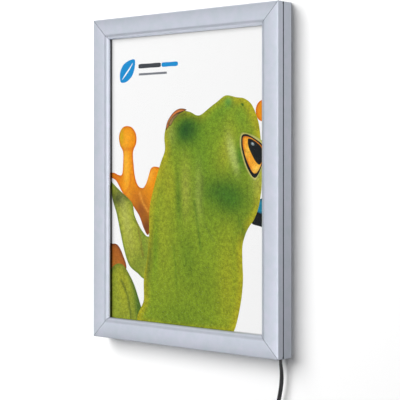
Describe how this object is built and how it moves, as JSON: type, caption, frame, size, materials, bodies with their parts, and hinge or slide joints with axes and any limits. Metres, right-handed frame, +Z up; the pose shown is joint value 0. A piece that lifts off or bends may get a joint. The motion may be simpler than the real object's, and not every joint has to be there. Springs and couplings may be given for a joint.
{
  "type": "illuminated poster snap frame",
  "caption": "Slim wall-hung poster light box with mitred silver snap covers that hinge open to change the backlit sheet, fed by a thin black lead.",
  "frame": {"origin": "centre of the back, on the wall plane, which is the centre of the wall screws' pattern", "axes": "+Z up, +X to the viewer's right, -Y out of the wall towards the viewer"},
  "size_m": [0.3354, 0.028, 0.7124],
  "materials": {
    "anodised_silver": "satin anodised, fine drawn grain",
    "bracket_steel": "zinc plated",
    "screw_steel": "zinc plated",
    "spring_steel": "blued spring strip",
    "clear_sheet": "clear anti-glare PET",
    "print_sheet": "backlit print film",
    "diffuser_white": "opal",
    "guide_acrylic": "clear acrylic with a dot pattern",
    "reflector_white": "white film",
    "back_grey": "fine textured sheet",
    "board_white": "solder masked circuit board",
    "led_yellow": "phosphor filled package",
    "terminal_white": "moulded",
    "wire_insulation": "extruded PVC",
    "lead_black": "extruded soft PVC",
    "gland_black": "moulded",
    "tie_black": "moulded nylon",
    "adapter_black": "fine spark texture",
    "pin_nickel": "nickel plated brass",
    "component_dark": "moulded"
  },
  "bodies": {
    "casing": {"casing_top": "anodised_silver", "leaf_springs_top": "spring_steel", "casing_bottom": "anodised_silver", "leaf_springs_bottom": "spring_steel", "casing_left": "anodised_silver", "leaf_springs_left": "spring_steel", "casing_right": "anodised_silver", "leaf_springs_right": "spring_steel", "corner_bracket_bottom_left": "bracket_steel", "corner_bracket_bottom_right": "bracket_steel", "led_board_bottom": "board_white", "leds_bottom": "led_yellow", "corner_bracket_top_left": "bracket_steel", "corner_bracket_top_right": "bracket_steel", "led_board_top": "board_white", "leds_top": "led_yellow", "bracket_screws": "screw_steel", "clear_front_sheet": "clear_sheet", "poster": "print_sheet", "diffuser_sheet": "diffuser_white", "light_guide": "guide_acrylic", "reflector_sheet": "reflector_white", "back_panel": "back_grey", "lead_gland": "gland_black", "gland_nut": "gland_black", "lead_upper": "lead_black", "lead_tail": "lead_black", "lead_coil": "lead_black", "coil_tie": "tie_black", "adapter_case": "adapter_black", "adapter_plug_face": "adapter_black", "adapter_pins": "pin_nickel", "adapter_board": "board_white", "adapter_components": "component_dark", "adapter_relief": "gland_black", "terminal_block": "terminal_white", "supply_wires": "wire_insulation", "board_wires": "wire_insulation", "link_wires": "wire_insulation"},
    "cover_top": {"snap_cover_top": "anodised_silver"},
    "cover_bottom": {"snap_cover_bottom": "anodised_silver"},
    "cover_left": {"snap_cover_left": "anodised_silver"},
    "cover_right": {"snap_cover_right": "anodised_silver"}
  },
  "joints": [
    {"name": "open_top_cover", "type": "hinge", "parent": "casing", "child": "cover_top", "pos_m": [0, -0.0176, 0.2282], "axis": [-1, 0, 0], "range_deg": [0, 90]},
    {"name": "open_bottom_cover", "type": "hinge", "parent": "casing", "child": "cover_bottom", "pos_m": [0, -0.0176, -0.2282], "axis": [1, 0, 0], "range_deg": [0, 90]},
    {"name": "open_left_cover", "type": "hinge", "parent": "casing", "child": "cover_left", "pos_m": [-0.1667, -0.0176, 0], "axis": [0, 0, -1], "range_deg": [0, 90]},
    {"name": "open_right_cover", "type": "hinge", "parent": "casing", "child": "cover_right", "pos_m": [0.1667, -0.0176, 0], "axis": [0, 0, 1], "range_deg": [0, 90]}
  ]
}
